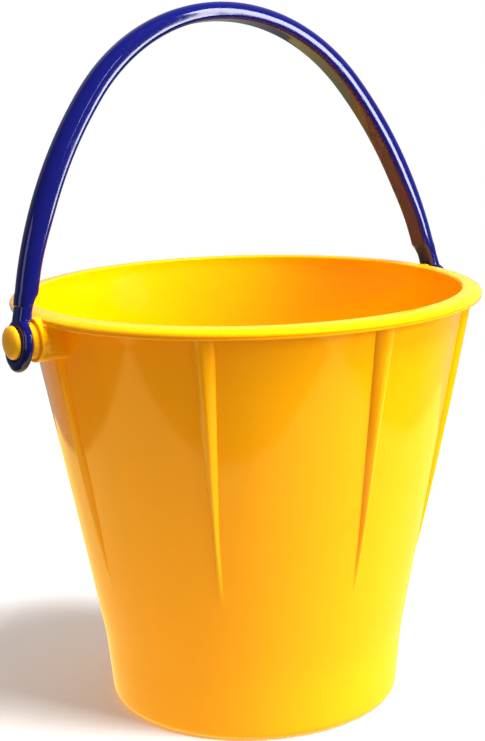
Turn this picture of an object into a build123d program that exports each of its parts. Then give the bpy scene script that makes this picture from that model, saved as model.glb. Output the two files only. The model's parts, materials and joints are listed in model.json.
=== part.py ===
from build123d import *
import math
import os

# Sand bucket: a tapered moulded pail with a rolled rim, a swinging arched handle and two snap-in
# pivot pins. Millimetres. The origin is at the centre of the foot, +Z is up, and X is the pivot axis
# of the handle.

# ---------------------------------------------------------------- bucket: driving dimensions
height = 164.0
floor_thickness = 2.0

base_radius = 57.5
base_corner = 3.6
foot_inner_radius = 51.5
foot_draft = 0.4
foot_recess = 1.4
floor_corner = 3.0

bend_radius = 60.0
bend_height = 25.9
bend_softness = 120.0

rim_radius = 91.2
rim_depth = 3.8
rim_neck_radius = 85.05
rim_ledge = 0.35
rim_ledge_height = 1.1
rim_shoulder = 1.4
rim_crown_radius = 88.4
mouth_radius = 83.4
mouth_lip_depth = 3.0
mouth_chamfer = 0.6

rib_count = 8
rib_width = 8.8
rib_stand_off = 2.45
rib_tip_height = 58.4
rib_fullness = 2.5
rib_root = 0.9
rib_sections = 8
rib_spacing = 1.35

# ---------------------------------------------------------------- pivots
pivot_height = 155.0
block_width = 14.7
block_bottom = 147.8
block_top = 162.0
block_face = 91.8
block_root = 5.0
block_rounding = 1.4
block_corner = 2.2
boss_radius = 8.2
boss_face = 93.4
hub_radius = 6.6
hub_face = 95.9
hub_rounding = 0.5
bore_depth = 9.6

pin_radius = 3.4
pin_length = 9.2
pin_barb_radius = 3.8
pin_barb_length = 2.3
pin_tip_radius = 2.9
pin_slot = 1.0
pin_slot_depth = 7.5
pin_head_radius = 6.1
pin_head_edge = 0.6
pin_head_dome = 2.3
barb_clearance = 0.1

# ---------------------------------------------------------------- handle
handle_lean = 6.5
eye_radius = 9.6
eye_drop = 1.3
eye_thickness = 3.0
eye_rounding = 1.2
eye_tilt = 8.0
eye_stand_off = 1.3
eye_running_clearance = 0.08
pin_seat_radius = 7.0
head_side_play = 0.5

arch_rise = 114.5
arch_width = 9.6
arch_thickness = 6.9
arch_outer_rounding = 3.2
arch_inner_rounding = 1.2
crown_radius = 78.3
crown_angle = 39.2
leg_angle = 12.4
shoulder_rise = 17.0
shoulder_step = 0.3
neck_width = 9.0
neck_rounding = 1.3
neck_foot_rise, neck_foot_inner, neck_foot_outer = 7.3, 94.3, 99.1
neck_waist_rise, neck_waist_inner, neck_waist_outer = 9.8, 93.75, 98.4
neck_top_rise, neck_top_inner, neck_top_outer = 12.3, 93.1, 97.8

# ---------------------------------------------------------------- derived places
rim_underside = height - rim_depth
cone_slope = (rim_neck_radius - bend_radius) / (rim_underside - bend_height)
inner_bend_radius = mouth_radius - cone_slope * (rim_underside - bend_height)
base_slope = (bend_radius - base_radius) / bend_height
floor_top = foot_recess + floor_thickness
inner_base_radius = inner_bend_radius - base_slope * (bend_height - floor_top)

tilt_sine, tilt_cosine = math.sin(math.radians(eye_tilt)), math.cos(math.radians(eye_tilt))
eye_inner_face = hub_face + eye_stand_off
eye_outer_face = eye_inner_face + eye_thickness / tilt_cosine
pin_head_face = eye_outer_face + head_side_play
neck_sections = (
    (neck_foot_rise, neck_foot_inner, neck_foot_outer),
    (neck_waist_rise, neck_waist_inner, neck_waist_outer),
    (neck_top_rise, neck_top_inner, neck_top_outer),
)
pin_tip = hub_face - pin_length
bore_end = hub_face - bore_depth

leg_sine, leg_cosine = math.sin(math.radians(leg_angle)), math.cos(math.radians(leg_angle))
crown_sine, crown_cosine = math.sin(math.radians(crown_angle)), math.cos(math.radians(crown_angle))
leg_radius = (arch_rise - shoulder_rise - crown_radius * (1 - crown_sine)) / (crown_sine - leg_sine)
shoulder_reach = crown_radius * crown_cosine + leg_radius * (leg_cosine - crown_cosine)


def wall_radius(z):
    """Outside radius of the long cone of the wall at a height."""
    return bend_radius + cone_slope * (z - bend_height)


def rib_size(z):
    """Stand-off and half width of a rib at a height: both die away at its tip."""
    rise = (z - rib_tip_height) / (rim_underside - rib_tip_height)
    stand_off = rib_stand_off * math.sqrt(1 - (1 - min(rise, 1)) ** rib_fullness)
    return stand_off, rib_width / 2 * rise


# ---------------------------------------------------------------- one rib
# Sections across the rib, closer together near the tip, where it runs out to a point. Each is a
# rounded crest that starts inside the wall.
with BuildPart() as rib:
    for step in range(rib_sections, 0, -1):
        rise = (step / rib_sections) ** rib_spacing
        z = rib_tip_height + rise * (rim_underside - rib_tip_height)
        stand_off, half_width = rib_size(z)
        crest = (stand_off + rib_root) * 4 / 3
        with BuildSketch(Plane(origin=(wall_radius(z) - rib_root, 0, z))):
            with BuildLine():
                Bezier((0, -half_width), (crest, -half_width), (crest, half_width), (0, half_width))
                Line((0, half_width), (0, -half_width))
            make_face()
    tip = Vertex(wall_radius(rib_tip_height) - rib_root, 0, rib_tip_height)
    loft(sections=rib.pending_faces + [tip], ruled=True)

# ---------------------------------------------------------------- one pivot block with its hub
with BuildPart() as pivot_block:
    with BuildSketch(Plane.YZ.offset(mouth_radius - block_root)):
        with Locations((0, (block_bottom + block_top) / 2)):
            Rectangle(block_width, block_top - block_bottom)
    extrude(amount=block_face - mouth_radius + block_root)
    fillet(pivot_block.edges().filter_by(Axis.X).group_by(Axis.Z)[0], radius=block_corner)
    fillet(pivot_block.faces().sort_by(Axis.X)[-1].edges(), radius=block_rounding)
    for radius, face in ((boss_radius, boss_face), (hub_radius, hub_face)):
        with BuildSketch(Plane.YZ.offset(block_face - block_rounding)):
            with Locations((0, pivot_height)):
                Circle(radius)
        extrude(amount=face - block_face + block_rounding)
        fillet(pivot_block.faces().sort_by(Axis.X)[-1].edges(), radius=hub_rounding)
    with BuildSketch(Plane.YZ.offset(bore_end)):
        with Locations((0, pivot_height)):
            Circle(pin_radius)
    extrude(amount=bore_depth, mode=Mode.SUBTRACT)
    with BuildSketch(Plane.YZ.offset(bore_end)):
        with Locations((0, pivot_height)):
            Circle(pin_barb_radius + barb_clearance)
    extrude(amount=pin_tip + pin_barb_length - bore_end, mode=Mode.SUBTRACT)

# ---------------------------------------------------------------- bucket shell
with BuildPart() as bucket_shell:
    with BuildSketch(Plane.XZ):
        with BuildLine():
            FilletPolyline(
                (0, foot_recess),
                (foot_inner_radius, foot_recess),
                (foot_inner_radius + foot_draft, 0),
                (base_radius, 0),
                (bend_radius, bend_height),
                (rim_neck_radius, rim_underside),
                (rim_radius - rim_ledge, rim_underside),
                (rim_radius - rim_ledge, rim_underside + rim_ledge_height),
                (rim_radius, rim_underside + rim_ledge_height),
                (rim_radius, height - rim_shoulder),
                (rim_crown_radius, height),
                (0, height),
                radius=[0, 0.6, 0.5, base_corner, bend_softness, 0.8, 0.4, 0, 0, 2.0, 6.0, 0],
                close=True,
            )
        make_face()
    revolve(axis=Axis.Z)
    with PolarLocations(0, rib_count):
        add(rib.part)
    with PolarLocations(0, 2):
        add(pivot_block.part)
    with BuildSketch(Plane.XZ):
        with BuildLine():
            FilletPolyline(
                (0, floor_top),
                (inner_base_radius, floor_top),
                (inner_bend_radius, bend_height),
                (mouth_radius, height - mouth_lip_depth),
                (mouth_radius, height - mouth_chamfer),
                (mouth_radius + mouth_chamfer, height),
                (mouth_radius + mouth_chamfer, height + 1),
                (0, height + 1),
                radius=[0, floor_corner, bend_softness, 0, 0, 0, 0, 0],
                close=True,
            )
        make_face()
    revolve(axis=Axis.Z, mode=Mode.SUBTRACT)

# ---------------------------------------------------------------- handle
# Drawn in the plane of the arch, which leans back about the pivot axis. The eyes tilt with the legs,
# so their lower edges stand further out than their tops, and a flat seat is cut for each pin's head.
lean_sine, lean_cosine = math.sin(math.radians(handle_lean)), math.cos(math.radians(handle_lean))
arch_plane = Plane(origin=(0, 0, pivot_height), x_dir=(1, 0, 0), z_dir=(0, -lean_cosine, lean_sine))
up_the_arch = arch_plane.y_dir


def arch_point(x, rise):
    """A point of the arch's plane: distance from the middle, and rise above the pivot axis."""
    return arch_plane.from_local_coords((x, rise, 0))


def neck_section_plane(side, x, rise, tilt):
    """Section across a leg: local x runs front to back, local y outwards."""
    angle = math.radians(tilt)
    run = (-side * math.sin(angle), math.cos(angle), 0)
    z_dir = arch_plane.from_local_coords(run) - arch_plane.origin
    return Plane(origin=arch_point(side * x, rise), x_dir=arch_plane.z_dir * side, z_dir=z_dir)


with BuildPart() as handle:
    with BuildLine(arch_plane):
        right_leg = JernArc(
            (shoulder_reach, shoulder_rise), (-leg_sine, leg_cosine), leg_radius, crown_angle - leg_angle
        )
        crown = JernArc(right_leg @ 1, right_leg % 1, crown_radius, 180 - 2 * crown_angle)
        JernArc(crown @ 1, crown % 1, leg_radius, crown_angle - leg_angle)
    with BuildSketch(neck_section_plane(1, shoulder_reach, shoulder_rise, leg_angle)) as arch_section:
        Rectangle(arch_width, arch_thickness)
        fillet(arch_section.vertices().group_by(Axis.Y)[-1], radius=arch_outer_rounding)
        fillet(arch_section.vertices().group_by(Axis.Y)[0], radius=arch_inner_rounding)
    sweep()
    for side in (-1, 1):
        for rise, inner, outer in neck_sections:
            with BuildSketch(neck_section_plane(side, (inner + outer) / 2, rise, 0)):
                RectangleRounded(neck_width, outer - inner, radius=neck_rounding)
        with BuildSketch(neck_section_plane(side, shoulder_reach, shoulder_rise, leg_angle)):
            RectangleRounded(
                arch_width - 2 * shoulder_step, arch_thickness - 2 * shoulder_step, radius=neck_rounding
            )
        loft(ruled=True)
    for side in (-1, 1):
        outwards = arch_point(side * tilt_cosine, tilt_sine) - arch_plane.origin
        eye_middle = arch_point(side * (eye_inner_face + eye_drop * tilt_sine / tilt_cosine), -eye_drop)
        with BuildPart(mode=Mode.PRIVATE) as eye:
            with BuildSketch(Plane(origin=eye_middle, x_dir=arch_plane.z_dir, z_dir=outwards)):
                Circle(eye_radius)
            extrude(amount=eye_thickness)
            fillet(eye.edges().filter_by(GeomType.CIRCLE), radius=eye_rounding)
        add(eye.part)
        with BuildSketch(Plane(origin=(side * eye_outer_face, 0, pivot_height), z_dir=(side, 0, 0))):
            Circle(pin_seat_radius)
        extrude(amount=eye_thickness, mode=Mode.SUBTRACT)
    with BuildSketch(Plane.YZ.offset(-pin_head_face)):
        with Locations((0, pivot_height)):
            Circle(pin_radius + eye_running_clearance)
    extrude(amount=2 * pin_head_face, mode=Mode.SUBTRACT)

# ---------------------------------------------------------------- pivot pins
pins = {}
for label, side in (("left_pivot_pin", -1), ("right_pivot_pin", 1)):
    pin_plane = Plane(origin=(0, 0, pivot_height), x_dir=(side, 0, 0), z_dir=(0, -1, 0))
    with BuildPart() as pin:
        with BuildSketch(pin_plane):
            with BuildLine():
                Polyline(
                    (pin_head_face + pin_head_edge + pin_head_dome, 0),
                    (pin_tip, 0),
                    (pin_tip, pin_tip_radius),
                    (pin_tip + pin_barb_length, pin_barb_radius),
                    (pin_tip + pin_barb_length, pin_radius),
                    (pin_head_face, pin_radius),
                    (pin_head_face, pin_head_radius),
                    (pin_head_face + pin_head_edge, pin_head_radius),
                )
                EllipticalCenterArc(
                    (pin_head_face + pin_head_edge, 0), pin_head_dome, pin_head_radius, 0, arc_size=90
                )
            make_face()
        revolve(axis=Axis((0, 0, pivot_height), (1, 0, 0)))
        with Locations((side * (pin_tip + pin_slot_depth / 2), 0, pivot_height)):
            Box(pin_slot_depth, pin_slot, 2 * pin_barb_radius + 1, mode=Mode.SUBTRACT)
    pins[label] = pin.part

# ---------------------------------------------------------------- labels and files
bucket_shell.part.label = "bucket_shell"
handle.part.label = "handle"
for label, part in pins.items():
    part.label = label

os.makedirs("parts", exist_ok=True)
export_step(bucket_shell.part, "parts/bucket_shell.step")
export_step(handle.part, "parts/handle.step")
for label, part in pins.items():
    export_step(part, f"parts/{label}.step")
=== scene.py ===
import json
import math

import bmesh
import bpy
from mathutils import Euler, Matrix, Vector


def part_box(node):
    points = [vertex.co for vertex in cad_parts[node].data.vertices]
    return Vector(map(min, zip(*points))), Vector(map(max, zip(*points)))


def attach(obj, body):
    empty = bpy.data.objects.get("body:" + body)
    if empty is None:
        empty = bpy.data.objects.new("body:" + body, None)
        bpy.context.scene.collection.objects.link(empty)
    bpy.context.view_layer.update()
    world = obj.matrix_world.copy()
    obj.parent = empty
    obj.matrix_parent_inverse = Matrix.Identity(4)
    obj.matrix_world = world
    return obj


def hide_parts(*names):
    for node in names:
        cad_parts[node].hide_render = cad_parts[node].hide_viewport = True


# Sand bucket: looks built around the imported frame. Metres, same axes as the CAD: +Z up, X along the
# handle's pivot axis, origin at the centre of the foot.

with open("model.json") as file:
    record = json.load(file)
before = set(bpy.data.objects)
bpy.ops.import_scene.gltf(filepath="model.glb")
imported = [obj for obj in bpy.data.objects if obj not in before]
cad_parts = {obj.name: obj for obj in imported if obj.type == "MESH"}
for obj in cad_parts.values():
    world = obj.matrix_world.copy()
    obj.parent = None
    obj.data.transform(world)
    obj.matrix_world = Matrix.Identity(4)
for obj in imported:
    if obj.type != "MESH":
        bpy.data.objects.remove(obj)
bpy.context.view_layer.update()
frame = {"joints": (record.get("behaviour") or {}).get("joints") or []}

MM = 0.001
TAU = 2 * math.pi

# ---------------------------------------------------------------- places read from the frame
_, shell_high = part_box("bucket_shell")
pin_low, pin_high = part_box("right_pivot_pin")
pivot = Vector(frame["joints"][0]["pos_m"])
rim_top = shell_high.z
rim_radius = shell_high.y
hub_face = shell_high.x
pin_tip_x, pin_end_x = pin_low.x, pin_high.x

# ---------------------------------------------------------------- bucket dimensions
foot_radius = 57.5 * MM
foot_inner_radius = 51.5 * MM
foot_recess = 1.4 * MM
bend_radius, bend_height = 60.0 * MM, 25.9 * MM
neck_radius = 85.05 * MM
rim_depth = 3.8 * MM
ledge_step, ledge_height = 0.2 * MM, 1.3 * MM  # the rim's raised band stands out from a low ledge
ledge_end = math.radians(8.1)  # the rim's raised band ends this far to each side of a block
crown_radius = 88.4 * MM
mouth_radius = 83.4 * MM
inner_bend_radius = 58.35 * MM
inner_base_radius = 56.18 * MM
floor_top = 3.4 * MM
rim_underside = rim_top - rim_depth
cone_slope = (neck_radius - bend_radius) / (rim_underside - bend_height)

RIBS = 8
rib_half_width = 4.4 * MM
rib_stand_off = 2.45 * MM
rib_tip_height, rib_tip_half_width = 58.4 * MM, 1.1 * MM
rib_swell, rib_fade = 2.2, 0.8  # how soon a rib gains its height above the tip
rib_ridge, rib_roof_share = 0.2, 0.6  # sharpness of the crest, and flat sides against round ones

block_half_width = 7.35 * MM
block_bottom, block_top = 147.8 * MM, 161.6 * MM
block_face, block_rounding = 91.8 * MM, 1.4 * MM
block_root = 0.85 * MM  # how far outside the inner face of the wall a block starts
boss_radius, boss_face = 8.2 * MM, 93.4 * MM
hub_radius = 6.6 * MM
bore_radius, bore_depth = 3.4 * MM, 9.6 * MM

# ---------------------------------------------------------------- handle dimensions
lean = math.radians(6.5)
eye_radius, eye_drop, eye_tilt = 9.6 * MM, 1.3 * MM, math.radians(8.0)
eye_thickness = 3.0 * MM
# The rounding of the eye's edges: how far it reaches over the face, and how deep it goes.
eye_outer_reach, eye_outer_depth = 2.5 * MM, 1.6 * MM
eye_inner_reach, eye_inner_depth = 0.9 * MM, 0.9 * MM
eye_inner_face = hub_face + 1.3 * MM
eye_outer_face = eye_inner_face + eye_thickness / math.cos(eye_tilt)
eye_hole_radius, seat_radius = 3.48 * MM, 7.0 * MM
arch_rise = 114.5 * MM
arch_half_width, arch_thickness = 4.8 * MM, 6.9 * MM
# A corner's rounding is a pair: its reach across the handle and along the thickness.
arch_outer_corner, arch_inner_corner = (3.9 * MM, 3.6 * MM), (1.5 * MM, 1.5 * MM)
arch_crown, arch_flank = 0.25 * MM, 0.3 * MM  # bulge of the outer face and of the sides
leg_extra = 0.95 * MM  # the legs are this much thicker than the top, on the inner side
leg_extra_start, leg_extra_run = 24 * MM, 24 * MM
leg_extra_fade, leg_extra_gone = math.radians(35), math.radians(85)
crown_arc_radius, crown_angle = 78.3 * MM, math.radians(39.2)
leg_angle, shoulder_rise = math.radians(12.4), 17.0 * MM

# The neck between eye and shoulder. A rise is counted from the pivot, up the arch's plane.
neck_half_width, neck_fillet = 4.5 * MM, 1.2 * MM
neck_corner, neck_outer_corner = (1.5 * MM, 1.5 * MM), (2.6 * MM, 2.2 * MM)
neck_start, neck_blend = 3 * MM, 4.5 * MM
inner_step_start, inner_step_blend = 6.75 * MM, 0.55 * MM
inner_corner_start, inner_corner_blend = 12 * MM, 4.3 * MM
neck_outer_rise, neck_outer_x, neck_outer_slope = 7.3 * MM, 99.15 * MM, 0.27
shoulder_start, shoulder_blend = 12.4 * MM, 0.6 * MM
arch_foot_rise, arch_foot_x, arch_foot_slope = 13 * MM, 98.2 * MM, 0.205
# The duller, greyer face of the hollow, with painted shade, begins at a rise. Inward is sideways at first,
# then also downwards.
hollow_start, hollow_turn, hollow_facing = 14 * MM, 30 * MM, 0.8

pin_radius, pin_head_radius = 3.4 * MM, 6.1 * MM
pin_head_edge, pin_head_dome = 0.6 * MM, 2.3 * MM
pin_tip_radius, pin_barb_radius, pin_barb_length = 2.9 * MM, 3.8 * MM, 2.3 * MM
pin_slot_size, pin_slot_middle = (7.5 * MM, 1.0 * MM, 9 * MM), 3.5 * MM


# ---------------------------------------------------------------- mesh helpers
def rounded(corners, steps=7):
    """A polyline through (a, b, radius) corners, with an arc at every corner that has a radius."""
    line = []
    for k, (a, b, radius) in enumerate(corners):
        here = Vector((a, b))
        if radius <= 0 or k in (0, len(corners) - 1):
            line.append(here)
            continue
        back = (Vector(corners[k - 1][:2]) - here).normalized()
        on = (Vector(corners[k + 1][:2]) - here).normalized()
        half = back.angle(on) / 2
        reach = radius / math.tan(half)
        start, end = here + back * reach, here + on * reach
        middle = here + (back + on).normalized() * (radius / math.sin(half))
        turn = (start - middle).angle_signed(end - middle)
        for step in range(steps + 1):
            arm = (start - middle).copy()
            arm.rotate(Matrix.Rotation(-turn * step / steps, 2))
            line.append(middle + arm)
    return line


def split_runs(line, longest):
    """Adds points on the straight runs of a polyline that are longer than this."""
    out = [line[0]]
    for start, end in zip(line, line[1:]):
        cuts = max(1, math.ceil((end - start).length / longest))
        out += [start.lerp(end, c / cuts) for c in range(1, cuts + 1)]
    return out


def shade(mesh, crease):
    """Smooth shading, except across edges sharper than crease degrees."""
    mesh.shade_smooth()
    mesh.set_sharp_from_angle(angle=math.radians(crease))


def new_object(name, bm, material=None, crease=32):
    """A mesh object from a bmesh, which it uses up."""
    bmesh.ops.recalc_face_normals(bm, faces=bm.faces)
    mesh = bpy.data.meshes.new(name)
    bm.to_mesh(mesh)
    bm.free()
    shade(mesh, crease)
    obj = bpy.data.objects.new(name, mesh)
    bpy.context.scene.collection.objects.link(obj)
    if material:
        mesh.materials.append(material)
    return obj


def combine(obj, others, operation, crease=32):
    """Joins the others to obj's mesh, or cuts them out of it, and removes them. Then points closer than
    weld become one, gaps that this leaves are filled, and loose edges go."""
    weld = 0.004 * MM
    for other in others:
        modifier = obj.modifiers.new("combine", "BOOLEAN")
        modifier.operation = operation
        modifier.solver = "EXACT"
        modifier.object = other
    depsgraph = bpy.context.evaluated_depsgraph_get()
    mesh = bpy.data.meshes.new_from_object(obj.evaluated_get(depsgraph))
    obj.modifiers.clear()
    obj.data = mesh
    bm = bmesh.new()
    bm.from_mesh(mesh)
    bmesh.ops.remove_doubles(bm, verts=bm.verts, dist=weld)
    bmesh.ops.dissolve_degenerate(bm, edges=bm.edges, dist=weld)
    bmesh.ops.holes_fill(bm, edges=[edge for edge in bm.edges if edge.is_boundary], sides=0)
    bmesh.ops.delete(bm, geom=[edge for edge in bm.edges if edge.is_wire], context="EDGES")
    bm.to_mesh(mesh)
    bm.free()
    shade(mesh, crease)
    for other in others:
        bpy.data.objects.remove(other)
    return obj


def skin(bm, rings):
    """Quads between closed rings of points. Returns the rings' vertices, for closing the two ends."""
    rows = [[bm.verts.new(p) for p in ring] for ring in rings]
    for low, high in zip(rows, rows[1:]):
        count = len(low)
        for k in range(count):
            bm.faces.new((low[k], low[(k + 1) % count], high[(k + 1) % count], high[k]))
    return rows


def fan(bm, row, point):
    """Triangles from a closed ring of vertices to one point."""
    tip = bm.verts.new(point)
    for k in range(len(row)):
        bm.faces.new((row[k], row[(k + 1) % len(row)], tip))


def lathe_x(name, profile, centre, side=1, steps=64):
    """A solid of revolution about the pivot axis, from (x, radius) points that start and end on it."""
    bm = bmesh.new()
    rings = []
    for x, radius in profile[1:-1]:
        ring = []
        for k in range(steps):
            turn = TAU * k / steps
            ring.append((side * x, centre.y + radius * math.cos(turn), centre.z + radius * math.sin(turn)))
        rings.append(ring)
    rows = skin(bm, rings)
    fan(bm, rows[0], (side * profile[0][0], centre.y, centre.z))
    fan(bm, rows[-1], (side * profile[-1][0], centre.y, centre.z))
    return new_object(name, bm)


# ---------------------------------------------------------------- bucket shell
def cone(radius, z):
    """Radius at a height of a cone that runs up the wall, from its radius at the bend."""
    return radius + cone_slope * (z - bend_height)


def rib_rise(z):
    """How far up its length a rib is at a height: 0 at the tip, 1 under the rim."""
    return min(max((z - rib_tip_height) / (rim_underside - rib_tip_height), 0), 1)


def crest(s):
    """Cross-section of a rib: 1 on its middle line, 0 at its edges. A rounded ridge between two sides."""
    roof = 1 - (math.hypot(s, rib_ridge) - rib_ridge) / (math.hypot(1, rib_ridge) - rib_ridge)
    arch = math.sqrt(1 - s * s)
    return rib_roof_share * roof + (1 - rib_roof_share) * arch


def columns(z, banded):
    """Angles round the bucket at a height, each with its place across a rib, or None between the ribs.
    They follow the edges of the ribs, so these stay crisp. In the banded rows a pair of columns closes up
    at each end of the rim's raised band."""
    rib_steps, rib_edge = 8, 0.985  # columns on half a rib, and the place of one just inside its edge
    gap_steps = 22  # columns between two ribs
    pair_place, pair_gap = 3.5, 0.004  # which two of them close up, counted from the rib, and how far apart
    half = max(rib_half_width * rib_rise(z), rib_tip_half_width) / cone(bend_radius, z)
    across = [math.sin(math.pi / 2 * k / rib_steps) for k in range(1 - rib_steps, rib_steps)]
    across = [-1, -rib_edge] + across + [rib_edge, 1]
    sector = TAU / RIBS
    angles = []
    for rib in range(RIBS):
        middle = rib * sector
        angles += [(middle + half * s, s) for s in across]
        gap = sector - 2 * half
        after_block, before_block = rib % (RIBS // 2) == 0, (rib + 1) % (RIBS // 2) == 0
        for k in range(1, gap_steps):
            angle = middle + half + gap * k / gap_steps
            from_first, from_last = k - pair_place, k - (gap_steps - pair_place)
            if banded and after_block and abs(from_first) < 1:
                angle = middle + ledge_end + from_first * pair_gap
            if banded and before_block and abs(from_last) < 1:
                angle = middle + sector - ledge_end + from_last * pair_gap
            angles.append((angle, None))
    return angles


def wall_profile():
    """The outline that is turned to make the bucket: from the middle of the underside, up the outside,
    over the rim, and down the inside to the middle of the floor."""
    line = rounded([
        (0, foot_recess, 0),
        (foot_inner_radius, foot_recess, 0.6 * MM),
        (foot_inner_radius + 0.4 * MM, 0, 0.5 * MM),
        (foot_radius, 0, 3.6 * MM),
        (bend_radius, bend_height, 120 * MM),
        (neck_radius, rim_underside, 0.8 * MM),
        (rim_radius - ledge_step, rim_underside, 0.6 * MM),
        (rim_radius - ledge_step, rim_underside + ledge_height, 0),
        (rim_radius, rim_underside + ledge_height + 0.05 * MM, 0.1 * MM),
        (rim_radius, rim_top - 1.5 * MM, 1.4 * MM),
        (crown_radius, rim_top, 6.0 * MM),
        (mouth_radius + 0.6 * MM, rim_top, 0.35 * MM),
        (mouth_radius, rim_top - 0.6 * MM, 0.35 * MM),
        (mouth_radius, rim_top - 3.0 * MM, 0),
        (inner_bend_radius, bend_height, 120 * MM),
        (inner_base_radius, floor_top, 3.0 * MM),
        (0, floor_top, 0),
    ])
    return split_runs(line, 4 * MM)


def bucket_ring(r, z):
    """One ring of the bucket, with the ribs, and with the raised band left out beside the blocks."""
    outside = r >= cone(bend_radius, z) - 0.4 * MM and z < rim_underside - 0.2 * MM
    banded = r > crown_radius and rim_underside + 0.6 * MM < z < rim_top - 0.1 * MM
    rise = rib_rise(z)
    ring = []
    for angle, s in columns(z, banded):
        reach = r
        beside_block = abs(math.remainder(angle, math.pi)) < ledge_end
        if banded and beside_block:
            reach = min(reach, rim_radius - ledge_step)
        if outside and s is not None and rise > 0:
            reach += rib_stand_off * (1 - (1 - rise) ** rib_swell) ** rib_fade * crest(s)
        ring.append((reach * math.cos(angle), reach * math.sin(angle), z))
    return ring


def bucket_body():
    """The turned and ribbed bucket. Its inside has the second material: rougher, and painted a touch
    lighter yellow as painted light.
    """
    bm = bmesh.new()
    rows = skin(bm, [bucket_ring(r, z) for r, z in wall_profile()[1:-1]])
    fan(bm, rows[0], (0, 0, foot_recess))
    fan(bm, rows[-1], (0, 0, floor_top))
    body = new_object("bucket_moulding", bm)
    # Faces inside the bucket get the inside material, whose lighter yellow is painted light.
    for face in body.data.polygons:
        out_of_middle = face.normal.x * face.center.x + face.normal.y * face.center.y
        inside = out_of_middle < 0 or face.normal.z > 0.5
        face.material_index = 1 if inside and face.center.z < rim_top - 0.8 * MM else 0
    return body


def pivot_block(side):
    """The block under the rim that carries the pivot, with its boss and hub, as a closed mesh."""
    bm = bmesh.new()
    outline = rounded([
        (0, block_top, 0),
        (block_half_width, block_top, 0.8 * MM),
        (block_half_width, block_bottom, 2.2 * MM),
        (0, block_bottom, 0),
    ])
    outline += [(-y, z) for y, z in reversed(outline[1:-1])]
    middle_z = (block_bottom + block_top) / 2
    # The root lies inside the wall. From there the block runs out to its face and rounds over.
    root = []
    for y, z in outline:
        radius = cone(inner_bend_radius, z) + block_root
        root.append((side * math.sqrt(radius ** 2 - y * y), y, z))
    rings = [root]
    rounding_steps = 8
    for step in range(rounding_steps + 1):
        turn = math.pi / 2 * step / rounding_steps
        inset = block_rounding * (1 - math.cos(turn))
        x = block_face - block_rounding + block_rounding * math.sin(turn)
        ring = []
        for y, z in outline:
            shrink_y = 1 - inset / block_half_width
            shrink_z = 1 - inset / (block_top - middle_z)
            ring.append((side * x, y * shrink_y, middle_z + (z - middle_z) * shrink_z))
        rings.append(ring)
    rows = skin(bm, rings)
    bm.faces.new(rows[0])
    bm.faces.new(rows[-1])
    block = new_object("pivot_block", bm)
    boss_root = block_face - 2 * MM
    profile = [(boss_root, 0)]
    profile += rounded([
        (boss_root, boss_radius, 0),
        (boss_face, boss_radius, 0.5 * MM),
        (boss_face, hub_radius, 0.4 * MM),
        (hub_face, hub_radius, 0.5 * MM),
        (hub_face, 0, 0),
    ])
    hub = lathe_x("pivot_hub", profile, pivot, side, 96)
    return combine(block, [hub], "UNION")


def bore(name, radius, start, end, side, steps=64):
    """A cylinder on the pivot axis, to cut a hole with."""
    return lathe_x(name, [(start, 0), (start, radius), (end, radius), (end, 0)], pivot, side, steps)


bucket = bucket_body()
combine(bucket, [pivot_block(-1), pivot_block(1)], "UNION")
combine(
    bucket,
    [bore("bore", bore_radius, hub_face - bore_depth, hub_face + MM, side) for side in (-1, 1)],
    "DIFFERENCE",
)

# ---------------------------------------------------------------- handle
arch_out = Vector((0, -math.cos(lean), math.sin(lean)))  # the front of the arch's plane
arch_up = Vector((0, math.sin(lean), math.cos(lean)))


def arch_point(x, rise, front):
    """A point from its distance along the pivot axis, rise in the arch's plane, and place across it."""
    return pivot + Vector((x, 0, 0)) + arch_up * rise + arch_out * front


def smooth_steps(t):
    """Eases from 0 to 1 while t goes from 0 to 1."""
    t = min(max(t, 0), 1)
    return t * t * (3 - 2 * t)


def between(rise, stops):
    """Reads the line through (rise, value) stops, highest rise first."""
    for (top, high), (low, value) in zip(stops, stops[1:]):
        if rise >= low:
            return value + (high - value) * min(max((rise - low) / (top - low), 0), 1)
    return stops[-1][1]


def section(inner, outer, half_width, inner_corner, outer_corner, crown, flank):
    """A ring across the handle: (x, rise) comes from two points. A corner is an ellipse's quarter, given
    by its reach across the handle and along its thickness. Crown and flank bulge the faces."""
    corner_steps, face_steps = 8, 5
    most = 0.98  # of the width or the thickness is the most that the corners take
    thickness = (outer - inner).length
    share = min(1, most * thickness / (inner_corner[1] + outer_corner[1]))
    corners = []
    for across, out, (reach_a, reach_o) in (
        (half_width, thickness, outer_corner),
        (-half_width, thickness, outer_corner),
        (-half_width, 0, inner_corner),
        (half_width, 0, inner_corner),
    ):
        reach_a = min(reach_a, half_width * most)
        reach_o *= share
        middle_a = across - math.copysign(reach_a, across)
        middle_o = out - reach_o if out > 0 else reach_o
        corners.append((middle_a, middle_o, reach_a, reach_o))
    ring = []
    for quarter, (middle_a, middle_o, reach_a, reach_o) in enumerate(corners):
        for step in range(corner_steps + 1):
            turn = math.pi / 2 * (quarter + step / corner_steps)
            ring.append((middle_a + reach_a * math.cos(turn), middle_o + reach_o * math.sin(turn)))
        if quarter in (0, 2):
            start, end = ring[-1], (corners[quarter + 1][0], ring[-1][1])
            for k in range(1, face_steps):
                ring.append((start[0] + (end[0] - start[0]) * k / face_steps, start[1]))
    along = (outer - inner).normalized()
    points = []
    for across, out in ring:
        bulge = crown * (1 - (across / half_width) ** 2) * (out / thickness)
        slim = 1 - flank / half_width * (across / half_width) ** 2 * (2 * out / thickness - 1) ** 2
        points.append((inner + along * (out + bulge), across * slim))
    return points


def mixed(a, b, share):
    """Part way from one pair of numbers to another."""
    return tuple(p + (q - p) * share for p, q in zip(a, b))


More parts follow.
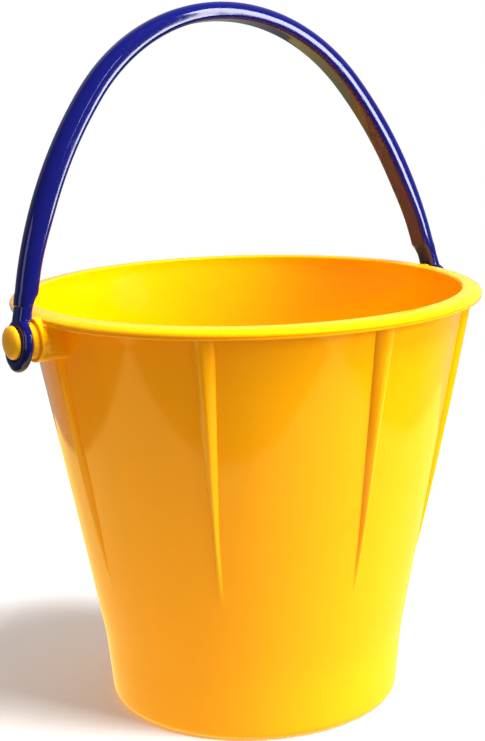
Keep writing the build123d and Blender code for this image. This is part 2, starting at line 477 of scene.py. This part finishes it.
def eye_edge(distance, reach, depth):
    """One face of the eye's disc at a distance from its middle: how much the edge's rounding takes off
    there, and the reach and depth of the rounding that is left on each side."""
    half_width = math.sqrt(max(eye_radius ** 2 - distance ** 2, 0))
    flat_radius = eye_radius - reach
    over = min(max((distance - flat_radius) / reach, 0), 1)
    lost = depth * (1 - math.sqrt(1 - over * over))
    flat_half = math.sqrt(max(flat_radius ** 2 - distance ** 2, 0))
    return half_width, lost, (half_width - flat_half, depth - lost)


# The arch's middle line is two arcs: the crown's, and one for each leg that joins it smoothly.
leg_sine = math.sin(leg_angle)
crown_sine, crown_cosine = math.sin(crown_angle), math.cos(crown_angle)
leg_arc_radius = (arch_rise - shoulder_rise - crown_arc_radius * (1 - crown_sine)) / (crown_sine - leg_sine)
leg_centre = Vector((
    crown_arc_radius * crown_cosine - leg_arc_radius * crown_cosine,
    arch_rise - crown_arc_radius + (crown_arc_radius - leg_arc_radius) * crown_sine,
))
crown_centre = Vector((0, arch_rise - crown_arc_radius))


def arch_middle_line(angle):
    """Middle line of the arch at a direction angle from the horizontal, with its outward direction."""
    out = Vector((math.cos(angle), math.sin(angle)))
    if angle >= crown_angle:
        return crown_centre + out * crown_arc_radius, out
    return leg_centre + out * leg_arc_radius, out


def eye_rises():
    """Rises of the sections from the bottom of the eye up to its middle, closer together at the bottom."""
    count, first = 21, 0.3
    drop = eye_radius * math.cos(eye_tilt)
    return [
        -eye_drop - drop * math.cos(math.pi / 2 * (step + first) / (count + first)) for step in range(count)
    ]


# The sections above the eye's middle stand close together at the step on the inside and at the shoulder.
neck_rises = [rise * MM for rise in (
    -0.8, 0.2, 1.2, 2.2, 3.2, 4.2, 5.0, 5.6, 6.1, 6.5, 6.8, 6.95, 7.1, 7.25, 7.5, 7.9, 8.4, 9.0, 9.8, 10.6,
    11.4, 12.0, 12.35, 12.55, 12.7, 12.85, 13.0, 13.2, 13.6, 14.2, 14.8, 15.4, 15.9, 16.3,
)]
# The neck's inner side, as (rise, x), from the shoulder down.
neck_inner_line = [(rise * MM, x * MM) for rise, x in (
    (16.3, 90.6), (15.7, 91.1), (15.0, 91.65), (14.2, 92.15), (13.2, 92.65), (12.3, 93.05),
    (11.0, 93.45), (9.8, 93.75), (8.5, 93.95), (7.3, 94.2),
)]


def leg_station(rise):
    """The section at a rise from the bottom of the eye up to the shoulder, for section()."""
    distance = abs(rise + eye_drop) / math.cos(eye_tilt)
    disc_half, lost_in, inner_corner = eye_edge(distance, eye_inner_reach, eye_inner_depth)
    _, lost_out, outer_corner = eye_edge(distance, eye_outer_reach, eye_outer_depth)
    disc_in = eye_inner_face - rise * math.tan(eye_tilt)
    disc_out = eye_outer_face - rise * math.tan(eye_tilt)
    if rise <= neck_start:
        inner, outer = Vector((disc_in + lost_in, rise)), Vector((disc_out - lost_out, rise))
        return inner, outer, disc_half, inner_corner, outer_corner, 0, 0

    # The disc runs into the neck, with a small fillet between their widths.
    near = max(neck_fillet - abs(disc_half - neck_half_width), 0) / neck_fillet
    half = max(disc_half, neck_half_width) + near * near * neck_fillet / 4
    step_in = smooth_steps((rise - inner_step_start) / inner_step_blend)
    inner_x = disc_in * (1 - step_in) + between(rise, neck_inner_line) * step_in
    neck_out = neck_outer_x - (rise - neck_outer_rise) * neck_outer_slope
    to_neck = smooth_steps((rise - neck_start) / neck_blend)
    outer_x = disc_out * (1 - to_neck) + neck_out * to_neck
    to_arch = smooth_steps((rise - inner_corner_start) / inner_corner_blend)
    inner_corner = mixed((eye_inner_reach, eye_inner_depth), neck_corner, to_neck)
    inner_corner = mixed(inner_corner, arch_inner_corner, to_arch)
    outer_corner = mixed((eye_outer_reach, eye_outer_depth), neck_outer_corner, to_neck)

    # The shoulder: the neck's outside steps out to the arch's.
    shoulder = smooth_steps((rise - shoulder_start) / shoulder_blend)
    arch_outer_x = arch_foot_x - (rise - arch_foot_rise) * arch_foot_slope
    outer_x = outer_x * (1 - shoulder) + arch_outer_x * shoulder
    half += (arch_half_width - half) * shoulder
    outer_corner = mixed(outer_corner, arch_outer_corner, shoulder)
    crown, flank = arch_crown * shoulder, arch_flank * shoulder
    return Vector((inner_x, rise)), Vector((outer_x, rise)), half, inner_corner, outer_corner, crown, flank


def arch_station(angle):
    """The section of the arch at a direction angle from the horizontal, for section()."""
    middle, out = arch_middle_line(angle)
    extra = leg_extra * smooth_steps((middle.y - leg_extra_start) / leg_extra_run)
    extra *= 1 - smooth_steps((angle - leg_extra_fade) / (leg_extra_gone - leg_extra_fade))
    inner = middle - out * (arch_thickness / 2 + extra)
    outer = middle + out * (arch_thickness / 2 - arch_crown)
    return inner, outer, arch_half_width, arch_inner_corner, arch_outer_corner, arch_crown, arch_flank


def handle_body():
    """The whole handle, from eye to eye, with the holes for the pins and the seats for their heads."""
    arch_steps = 56
    half_way = [leg_station(rise) for rise in eye_rises() + neck_rises]
    for step in range(arch_steps + 1):
        half_way.append(arch_station(leg_angle + (math.pi / 2 - leg_angle) * step / arch_steps))
    rings = []
    for station, side in [(s, 1) for s in half_way] + [(s, -1) for s in reversed(half_way[:-1])]:
        rings.append([arch_point(side * place.x, place.y, front) for place, front in section(*station)])
    bm = bmesh.new()
    rows = skin(bm, rings)
    for row in (rows[0], rows[-1]):
        bm.faces.new(row)
    body = new_object("carrying_handle", bm, crease=40)
    hole_start, hole_end = 80 * MM, 110 * MM
    cutters = [bore("eye_hole", eye_hole_radius, hole_start, hole_end, side, 96) for side in (-1, 1)]
    cutters += [bore("pin_seat", seat_radius, eye_outer_face, hole_end, side, 96) for side in (-1, 1)]
    return combine(body, cutters, "DIFFERENCE", crease=40)


grip = handle_body()
# The face towards the hand's hollow has a duller finish and a greyer, less blue colour, which is painted
# shade.
for face in grip.data.polygons:
    height = (face.center - pivot).dot(arch_up)
    inward = Vector((-face.center.x, 0, 0)) - arch_up * max(height - hollow_turn, 0)
    in_shaded_hollow = height > hollow_start and face.normal.dot(inward.normalized()) > hollow_facing
    face.material_index = 1 if in_shaded_hollow else 0


# ---------------------------------------------------------------- pivot pins
def pin_cap(name, side):
    """A snap-in pin: a slotted shank with a barb at its tip, and a domed head."""
    barb_end = pin_tip_x + pin_barb_length
    head_face = pin_end_x - pin_head_edge - pin_head_dome
    dome_steps = 15
    profile = [(pin_tip_x, 0)]
    profile += [tuple(point) for point in rounded([
        (pin_tip_x, pin_tip_radius, 0.2 * MM),
        (barb_end, pin_barb_radius, 0),
        (barb_end, pin_radius, 0),
        (head_face, pin_radius, 0),
        (head_face, pin_head_radius, 0),
    ])]
    for step in range(dome_steps):
        turn = math.pi / 2 * step / dome_steps
        out = head_face + pin_head_edge + pin_head_dome * math.sin(turn)
        profile.append((out, pin_head_radius * math.cos(turn)))
    profile.append((pin_end_x, 0))
    cap = lathe_x(name, profile, pivot, side, 96)
    slot = bmesh.new()
    bmesh.ops.create_cube(slot, size=1)
    bmesh.ops.scale(slot, vec=pin_slot_size, verts=slot.verts)
    middle = (side * (pin_tip_x + pin_slot_middle), pivot.y, pivot.z)
    bmesh.ops.translate(slot, vec=middle, verts=slot.verts)
    return combine(cap, [new_object("slot_cutter", slot)], "DIFFERENCE")


left_cap, right_cap = pin_cap("left_pin_cap", -1), pin_cap("right_pin_cap", 1)


# ---------------------------------------------------------------- materials
def plastic(name, colour, deep, roughness, subsurface, scatter, speckle, ior=1.49):
    """Glossy moulded plastic: slow colour drift, fine grain and scuffs in the gloss, and soft bump."""
    material = bpy.data.materials.new(name)
    material.use_nodes = True
    nodes, links = material.node_tree.nodes, material.node_tree.links
    shader = nodes["Principled BSDF"]
    shader.inputs["IOR"].default_value = ior
    shader.inputs["Subsurface Weight"].default_value = subsurface
    shader.inputs["Subsurface Radius"].default_value = scatter
    shader.inputs["Subsurface Scale"].default_value = 0.004
    place = nodes.new("ShaderNodeTexCoord")
    drift = nodes.new("ShaderNodeTexNoise")
    drift.inputs["Scale"].default_value = 14
    drift.inputs["Detail"].default_value = 3
    links.new(place.outputs["Object"], drift.inputs["Vector"])
    ramp = nodes.new("ShaderNodeValToRGB")
    ramp.color_ramp.elements[0].position = 0.3
    ramp.color_ramp.elements[0].color = (*deep, 1)
    ramp.color_ramp.elements[1].position = 0.7
    ramp.color_ramp.elements[1].color = (*colour, 1)
    links.new(drift.outputs["Fac"], ramp.inputs["Fac"])
    links.new(ramp.outputs["Color"], shader.inputs["Base Color"])
    grain = nodes.new("ShaderNodeTexNoise")
    grain.inputs["Scale"].default_value = 900
    grain.inputs["Detail"].default_value = 4
    links.new(place.outputs["Object"], grain.inputs["Vector"])
    rough = nodes.new("ShaderNodeMapRange")
    rough.inputs["To Min"].default_value = roughness * 0.8
    rough.inputs["To Max"].default_value = roughness * 1.25
    links.new(grain.outputs["Fac"], rough.inputs["Value"])
    # faint long scuffs from use, duller than the rest
    along = nodes.new("ShaderNodeMapping")
    along.inputs["Scale"].default_value = (1, 1, 0.1)
    links.new(place.outputs["Object"], along.inputs["Vector"])
    scuff = nodes.new("ShaderNodeTexNoise")
    scuff.inputs["Scale"].default_value = 260
    scuff.inputs["Detail"].default_value = 2
    links.new(along.outputs["Vector"], scuff.inputs["Vector"])
    duller = nodes.new("ShaderNodeMapRange")
    duller.inputs["From Min"].default_value = 0.62
    duller.inputs["From Max"].default_value = 0.78
    duller.inputs["To Max"].default_value = 0.12
    links.new(scuff.outputs["Fac"], duller.inputs["Value"])
    total = nodes.new("ShaderNodeMath")
    links.new(rough.outputs["Result"], total.inputs[0])
    links.new(duller.outputs["Result"], total.inputs[1])
    links.new(total.outputs["Value"], shader.inputs["Roughness"])
    wave = nodes.new("ShaderNodeTexNoise")
    wave.inputs["Scale"].default_value = 45
    wave.inputs["Detail"].default_value = 2
    links.new(place.outputs["Object"], wave.inputs["Vector"])
    soft = nodes.new("ShaderNodeBump")
    soft.inputs["Strength"].default_value = 0.06
    soft.inputs["Distance"].default_value = 0.002
    links.new(wave.outputs["Fac"], soft.inputs["Height"])
    fine = nodes.new("ShaderNodeBump")
    fine.inputs["Strength"].default_value = speckle
    fine.inputs["Distance"].default_value = 0.0001
    links.new(grain.outputs["Fac"], fine.inputs["Height"])
    links.new(soft.outputs["Normal"], fine.inputs["Normal"])
    links.new(fine.outputs["Normal"], shader.inputs["Normal"])
    return material


yellow_scatter, blue_scatter = (1.0, 0.4, 0.02), (0.1, 0.1, 1.0)
yellow = plastic(
    "yellow_plastic", colour=(0.95, 0.43, 0.0), deep=(0.95, 0.41, 0.0), roughness=0.09,
    subsurface=0.3, scatter=yellow_scatter, speckle=0.05,
)
# The inside's copy: duller gloss, and a touch more lemon than the outside, which is painted light.
lit_yellow_inside = plastic(
    "yellow_plastic_lit_inside", colour=(0.95, 0.45, 0.0), deep=(0.95, 0.43, 0.0), roughness=0.42,
    subsurface=0.3, scatter=yellow_scatter, speckle=0.05, ior=1.3,
)
cap_yellow = plastic(
    "cap_yellow_plastic", colour=(0.9, 0.42, 0.004), deep=(0.88, 0.4, 0.004), roughness=0.24,
    subsurface=0.3, scatter=yellow_scatter, speckle=0.05,
)
blue = plastic(
    "blue_plastic", colour=(0.005, 0.006, 0.1), deep=(0.004, 0.005, 0.088), roughness=0.07,
    subsurface=0.0, scatter=blue_scatter, speckle=0.004,
)
# The hollow's copy: duller gloss, and a greyer, less blue colour that is painted shade.
shaded_blue_hollow = plastic(
    "blue_plastic_shaded_hollow", colour=(0.014, 0.011, 0.07), deep=(0.012, 0.01, 0.06), roughness=0.4,
    subsurface=0.0, scatter=blue_scatter, speckle=0.02, ior=1.08,
)

for piece, materials, body, node, slot in (
    (bucket, (yellow, lit_yellow_inside), "bucket", "bucket_shell", "bucket_shell"),
    (grip, (blue, shaded_blue_hollow), "handle", "handle", "handle"),
    (left_cap, (cap_yellow,), "bucket", "left_pivot_pin", "pivot_pins"),
    (right_cap, (cap_yellow,), "bucket", "right_pivot_pin", "pivot_pins"),
):
    piece.data.materials.clear()
    for material in materials:
        piece.data.materials.append(material)
    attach(piece, body)
    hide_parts(node)


# ---------------------------------------------------------------- floor, world, lights and camera
def pale_floor():
    """Pale grey under the bucket. It runs out into the white of the studio, so it has no visible end."""
    material = bpy.data.materials.new("pale_floor")
    material.use_nodes = True
    nodes, links = material.node_tree.nodes, material.node_tree.links
    shader = nodes["Principled BSDF"]
    shader.inputs["Base Color"].default_value = (0.9, 0.9, 0.9, 1)
    shader.inputs["Roughness"].default_value = 0.6
    place = nodes.new("ShaderNodeTexCoord")
    distance = nodes.new("ShaderNodeVectorMath")
    distance.operation = "LENGTH"
    links.new(place.outputs["Object"], distance.inputs[0])
    fade = nodes.new("ShaderNodeMapRange")
    fade.interpolation_type = "SMOOTHSTEP"
    fade.inputs["From Min"].default_value = 0.2
    fade.inputs["From Max"].default_value = 0.7
    links.new(distance.outputs["Value"], fade.inputs["Value"])
    glow = nodes.new("ShaderNodeEmission")
    glow.inputs["Color"].default_value = (1, 1, 1, 1)
    glow.inputs["Strength"].default_value = 1.0
    blend = nodes.new("ShaderNodeMixShader")
    links.new(fade.outputs["Result"], blend.inputs["Fac"])
    links.new(shader.outputs["BSDF"], blend.inputs[1])
    links.new(glow.outputs["Emission"], blend.inputs[2])
    links.new(blend.outputs["Shader"], nodes["Material Output"].inputs["Surface"])
    return material


reach = 3.0
floor_mesh = bpy.data.meshes.new("floor")
floor_mesh.from_pydata(
    [(-reach, -reach, 0), (reach, -reach, 0), (reach, reach, 0), (-reach, reach, 0)], [], [(0, 1, 2, 3)]
)
floor_mesh.materials.append(pale_floor())
floor = bpy.data.objects.new("floor", floor_mesh)
bpy.context.scene.collection.objects.link(floor)
floor.visible_glossy = floor.visible_diffuse = False

# The table top that the glossy bucket mirrors. It ends a short way in front of the bucket.
sheet_edge, sheet_half, sheet_turn = 0.229, 0.28, math.radians(-133)
sheet_material = bpy.data.materials.new("mirrored_sheet")
sheet_material.use_nodes = True
nodes, links = sheet_material.node_tree.nodes, sheet_material.node_tree.links
sheet_glow = nodes.new("ShaderNodeEmission")
sheet_glow.inputs["Color"].default_value = (1.0, 0.8, 0.25, 1)
sheet_glow.inputs["Strength"].default_value = 1.4
links.new(sheet_glow.outputs["Emission"], nodes["Material Output"].inputs["Surface"])
bm = bmesh.new()
bmesh.ops.create_grid(bm, x_segments=1, y_segments=1, size=sheet_half)
bmesh.ops.translate(bm, vec=(sheet_edge - sheet_half, 0, -1 * MM), verts=bm.verts)
bmesh.ops.rotate(bm, cent=(0, 0, 0), matrix=Matrix.Rotation(sheet_turn, 3, "Z"), verts=bm.verts)
sheet = new_object("mirrored_sheet", bm, sheet_material)
sheet.visible_camera = sheet.visible_shadow = sheet.visible_transmission = False

world = bpy.data.worlds.new("studio")
bpy.context.scene.world = world
world.use_nodes = True
nodes, links = world.node_tree.nodes, world.node_tree.links
background = nodes["Background"]
background.inputs["Color"].default_value = (1, 1, 1, 1)
# The room: bright behind the bucket and dimmer everywhere else. The camera itself sees plain white.
seen = nodes.new("ShaderNodeLightPath")
direction = nodes.new("ShaderNodeTexCoord")
towards = nodes.new("ShaderNodeVectorMath")
towards.operation = "DOT_PRODUCT"
towards.inputs[1].default_value = (0.62, 0.78, 0.1)
links.new(direction.outputs["Generated"], towards.inputs[0])


def room(dim, bright, start, end):
    """Brightness of the room by direction, from dim in front to bright behind."""
    fall = nodes.new("ShaderNodeMapRange")
    fall.interpolation_type = "SMOOTHSTEP"
    fall.inputs["From Min"].default_value = start
    fall.inputs["From Max"].default_value = end
    fall.inputs["To Min"].default_value = dim
    fall.inputs["To Max"].default_value = bright
    links.new(towards.outputs["Value"], fall.inputs["Value"])
    return fall.outputs["Result"]


def choose(ray, off, on):
    """Brightness by kind of ray: on for this kind, off for the rest. Each is a number or a socket."""
    mix = nodes.new("ShaderNodeMix")
    mix.data_type = "FLOAT"
    links.new(seen.outputs[ray], mix.inputs["Factor"])
    for socket, value in (("A", off), ("B", on)):
        if isinstance(value, float):
            mix.inputs[socket].default_value = value
        else:
            links.new(value, mix.inputs[socket])
    return mix.outputs["Result"]


diffuse_room = room(0.45, 0.8, -0.2, 0.8)
mirrored_room = room(0.07, 0.4, 0.25, 0.9)
links.new(
    choose("Is Camera Ray", choose("Is Glossy Ray", diffuse_room, mirrored_room), 1.0),
    background.inputs["Strength"],
)


def softbox(name, place, target, width, height, power):
    """A rectangular area light that looks at a point."""
    light = bpy.data.lights.new(name, "AREA")
    light.shape = "RECTANGLE"
    light.size, light.size_y = width, height
    light.energy = power
    obj = bpy.data.objects.new(name, light)
    bpy.context.scene.collection.objects.link(obj)
    obj.location = place
    obj.rotation_euler = (Vector(target) - Vector(place)).to_track_quat("-Z", "Y").to_euler()
    return obj


middle = (0, 0, rim_top / 2)
key = softbox("key_right", (0.72, -0.92, 0.46), middle, 0.45, 0.5, 15.5)
key.visible_glossy = False
top = softbox("top_soft", (0.3, -0.5, 1.3), middle, 0.8, 0.8, 44)
top.visible_glossy = False
# The mirrored sheet lights the bucket and not the floor.
lit_by_sheet = bpy.data.collections.new("lit_by_sheet")
for piece in (bucket, grip, left_cap, right_cap):
    lit_by_sheet.objects.link(piece)
sheet.light_linking.receiver_collection = lit_by_sheet

# Tall narrow lights that only the handle's gloss shows.
handle_only = bpy.data.collections.new("handle_only")
handle_only.objects.link(grip)
arch_middle = pivot + arch_up * arch_rise / 2
strip_distance = 1.2
for name, turn, climb, width, height, power in (
    ("window_wide", -52, 22, 0.17, 1.0, 9.6),
    ("window_thin", -72, 20, 0.03, 0.3, 0.5),
    ("window_left", 168, 12, 0.5, 0.6, 1.4),
):
    turn, climb = math.radians(turn), math.radians(climb)
    level = math.cos(climb)
    towards_light = Vector((level * math.cos(turn), level * math.sin(turn), math.sin(climb)))
    place = arch_middle + towards_light * strip_distance
    strip = softbox(name, place, arch_middle, width, height, power)
    strip.visible_diffuse = False
    strip.light_linking.receiver_collection = handle_only

camera_data = bpy.data.cameras.new("camera")
camera_data.sensor_width = 36
camera_data.lens = 74.32
camera_data.clip_start = 0.01
camera_data.dof.use_dof = False
camera = bpy.data.objects.new("camera", camera_data)
camera.location = (-0.3364, -0.4840, 0.2587)
camera.rotation_euler = Euler([math.radians(a) for a in (77.717, 1.423, -34.925)])
bpy.context.scene.collection.objects.link(camera)
bpy.context.scene.camera = camera
bpy.context.scene.view_settings.view_transform = "Standard"
bpy.context.scene.view_settings.look = "None"
